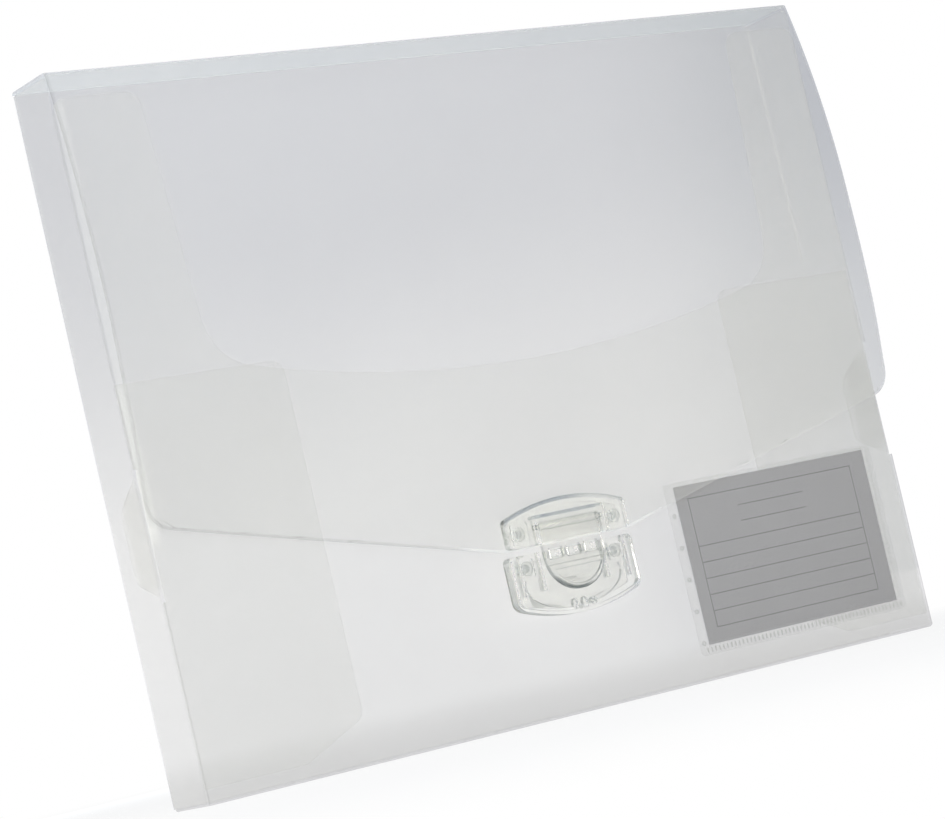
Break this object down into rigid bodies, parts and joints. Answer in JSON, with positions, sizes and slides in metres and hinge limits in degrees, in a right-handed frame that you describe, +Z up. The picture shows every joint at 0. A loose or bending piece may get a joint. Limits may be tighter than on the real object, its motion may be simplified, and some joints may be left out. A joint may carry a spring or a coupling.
{
  "type": "document box file",
  "caption": "Slim translucent plastic box file for A4 papers, folded from one sheet, with a spine and closing flap, a clear two-part clasp with a tongue, and a label pocket.",
  "frame": {"origin": "centre of the bottom panel's underside, on which the closed file stands upright", "axes": "+Z up, X along the width, the front with flap, clasp and label faces -Y"},
  "size_m": [0.33, 0.0363, 0.252],
  "materials": {
    "sheet": "translucent frosted polypropylene sheet",
    "clasp": "clear moulded plastic",
    "film": "clear welded film",
    "card": "grey card printed with rules"
  },
  "bodies": {
    "case": {"back_panel": "sheet", "bottom_panel": "sheet", "front_panel": "sheet", "left_side_wall": "sheet", "right_side_wall": "sheet", "left_inner_tab": "sheet", "right_inner_tab": "sheet", "left_lock_tab": "sheet", "right_lock_tab": "sheet", "clasp_lower_plate": "clasp", "clasp_lower_backing": "clasp", "clasp_lower_rivets": "clasp", "label_pocket": "film"},
    "spine": {"top_spine": "sheet"},
    "flap": {"closing_flap": "sheet", "clasp_upper_plate": "clasp", "clasp_upper_backing": "clasp", "clasp_upper_rivets": "clasp"},
    "tongue": {"clasp_tongue": "clasp"},
    "card": {"label_card": "card"}
  },
  "joints": [
    {"name": "spine_crease", "type": "hinge", "parent": "case", "child": "spine", "pos_m": [0, 0.01275, 0.252], "axis": [-1, 0, 0], "range_deg": [0, 180]},
    {"name": "flap_crease", "type": "hinge", "parent": "spine", "child": "flap", "pos_m": [0, -0.01275, 0.252], "axis": [-1, 0, 0], "range_deg": [0, 180]},
    {"name": "tongue_pivot", "type": "hinge", "parent": "flap", "child": "tongue", "pos_m": [0, -0.01835, 0.0686], "axis": [-1, 0, 0], "range_deg": [0, 40]},
    {"name": "card_slide", "type": "slide", "parent": "case", "child": "card", "axis": [0, 0, 1], "range_m": [0, 0.062]}
  ]
}
